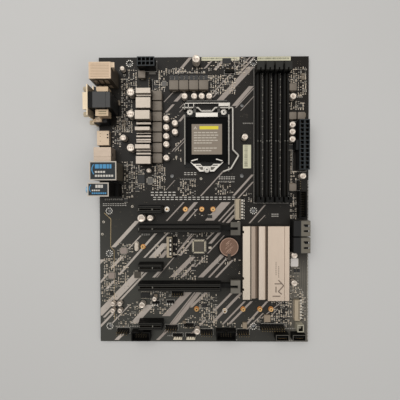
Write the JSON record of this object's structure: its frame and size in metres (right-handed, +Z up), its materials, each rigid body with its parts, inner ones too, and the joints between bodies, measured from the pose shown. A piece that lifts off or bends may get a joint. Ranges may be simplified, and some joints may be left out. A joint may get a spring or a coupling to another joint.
{
  "type": "computer motherboard",
  "caption": "Full-size black motherboard with finned heatsinks, lever-locked processor socket under a cover, memory slots, card slots and stacked rear ports.",
  "frame": {"origin": "middle of the rectangle of the four outer standoff holes, on the underside of the board", "axes": "+X from the rear port edge to the front edge, +Y towards the top edge with the processor power socket, +Z up out of the component side"},
  "size_m": [0.23, 0.3048, 0.0364],
  "materials": {
    "board": "dark solder mask",
    "solder": "dull tin solder",
    "black_plastic": "moulded black",
    "dark_plastic": "moulded dark grey",
    "grey_plastic": "moulded warm grey",
    "khaki_plastic": "moulded khaki brown",
    "gold": "flash gold plate",
    "steel": "nickel plated steel",
    "label": "printed film",
    "choke": "pressed iron powder",
    "chip": "moulded epoxy",
    "pad": "soft grey pad",
    "aluminium": "matt silver",
    "champagne": "brushed champagne",
    "can": "bright can",
    "brass": "bright brass",
    "cell": "reflective steel",
    "ring": "pale coloured ring"
  },
  "bodies": {
    "board": {"audio_jack_body": "black_plastic", "audio_jack_rings": "ring", "battery_clip": "steel", "battery_holder": "black_plastic", "box_headers": "black_plastic", "card_nuts": "brass", "card_sockets": "khaki_plastic", "chip_packages": "chip", "chipset_heatsink": "champagne", "chipset_package": "chip", "chokes": "choke", "circuit_board": "board", "coin_cell": "cell", "dimm_slot_1": "black_plastic", "dimm_slot_2": "black_plastic", "dimm_slot_3": "black_plastic", "dimm_slot_4": "black_plastic", "hdmi_shell": "steel", "header_bases": "black_plastic", "header_pins": "gold", "heatsink_fasteners": "steel", "lan_usb_shell": "steel", "large_capacitors": "can", "main_power_socket": "black_plastic", "medium_capacitors": "can", "mosfets": "chip", "pcie_x16_slot_1": "black_plastic", "pcie_x16_slot_2": "black_plastic", "pcie_x1_slots": "black_plastic", "port_labels": "label", "port_tongues": "black_plastic", "power_heatsink": "aluminium", "power_pins": "gold", "processor_power_socket": "black_plastic", "ps2_usb_shell": "steel", "sata_edge_ports": "grey_plastic", "sata_upright_ports": "black_plastic", "small_capacitors": "can", "socket_backplate": "steel", "socket_contacts": "gold", "socket_frame": "steel", "socket_housing": "black_plastic", "socket_screws": "steel", "solder_tails": "solder", "thermal_pads": "pad", "usb_shell": "steel", "video_jackscrews": "steel", "video_port_body": "dark_plastic", "video_port_flange": "steel"},
    "lever": {"socket_lever": "steel"},
    "plate": {"load_plate": "steel"},
    "cover": {"socket_cover": "black_plastic", "cover_label": "label"},
    "memory_latch_1": {"dimm_latch_1": "dark_plastic"},
    "memory_latch_2": {"dimm_latch_2": "dark_plastic"},
    "memory_latch_3": {"dimm_latch_3": "dark_plastic"},
    "memory_latch_4": {"dimm_latch_4": "dark_plastic"},
    "card_latch_1": {"pcie_latch_1": "grey_plastic"},
    "card_latch_2": {"pcie_latch_2": "grey_plastic"}
  },
  "joints": [
    {"name": "socket_lever_turn", "type": "hinge", "parent": "board", "child": "lever", "pos_m": [0.02757, 0.17106, 0.0056], "axis": [-1, 0, 0], "range_deg": [0, 135]},
    {"name": "load_plate_turn", "type": "hinge", "parent": "board", "child": "plate", "pos_m": [0.02757, 0.17106, 0.0056], "axis": [-1, 0, 0], "range_deg": [0, 101.25]},
    {"name": "cover_lift", "type": "slide", "parent": "plate", "child": "cover", "axis": [0, 0, 1], "range_m": [0, 0.015]},
    {"name": "memory_latch_turn_1", "type": "hinge", "parent": "board", "child": "memory_latch_1", "pos_m": [0.08217, 0.20986, 0.0054], "axis": [-1, 0, 0], "range_deg": [0, 28]},
    {"name": "memory_latch_turn_2", "type": "hinge", "parent": "board", "child": "memory_latch_2", "pos_m": [0.09152, 0.20986, 0.0054], "axis": [-1, 0, 0], "range_deg": [0, 28]},
    {"name": "memory_latch_turn_3", "type": "hinge", "parent": "board", "child": "memory_latch_3", "pos_m": [0.10087, 0.20986, 0.0054], "axis": [-1, 0, 0], "range_deg": [0, 28]},
    {"name": "memory_latch_turn_4", "type": "hinge", "parent": "board", "child": "memory_latch_4", "pos_m": [0.11022, 0.20986, 0.0054], "axis": [-1, 0, 0], "range_deg": [0, 28]},
    {"name": "card_latch_turn_1", "type": "hinge", "parent": "board", "child": "card_latch_1", "pos_m": [0.05737, 0.04404, 0.0042], "axis": [0, 1, 0], "range_deg": [0, 20]},
    {"name": "card_latch_turn_2", "type": "hinge", "parent": "board", "child": "card_latch_2", "pos_m": [0.05737, -0.01692, 0.0042], "axis": [0, 1, 0], "range_deg": [0, 20]}
  ],
  "couplings": [
    {"joint": "load_plate_turn", "follows": "socket_lever_turn", "ratio": 0.75}
  ]
}
